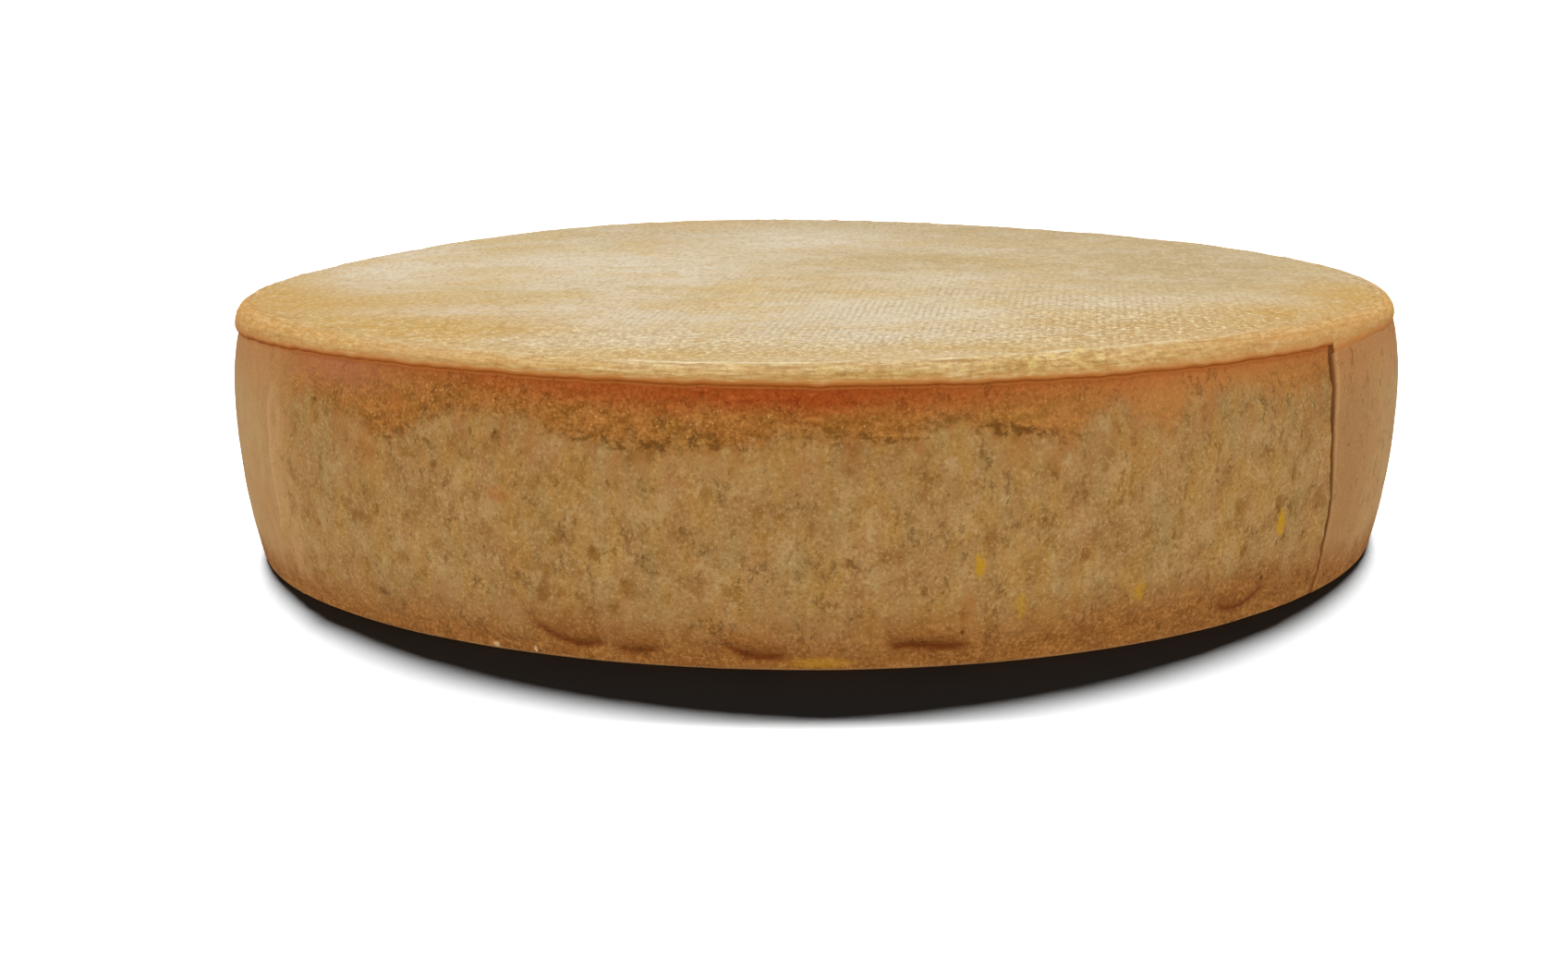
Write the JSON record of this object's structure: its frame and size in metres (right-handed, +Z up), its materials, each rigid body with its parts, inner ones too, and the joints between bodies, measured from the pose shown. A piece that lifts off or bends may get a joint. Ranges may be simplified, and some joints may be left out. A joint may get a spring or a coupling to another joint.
{
  "type": "cheese wheel",
  "caption": "Whole round wheel of semi-hard mountain cheese with a cloth-marked top, a rounded overhanging rim, a mottled washed rind and an upright hoop seam in its side.",
  "frame": {"origin": "centre of the base, on the surface that the wheel lies on", "axes": "+Z up through the thickness of the wheel, -Y towards the side with the mottled rind in its middle, the hoop seam about 53 degrees from -Y towards +X, seen from above"},
  "size_m": [0.3144, 0.3149, 0.0695],
  "materials": {
    "rind": "washed rind, golden and cloth-marked on top, mottled tan at the side, rust orange under the lip; satin, slightly moist"
  },
  "bodies": {
    "root": {"cheese_wheel": "rind"}
  },
  "joints": []
}
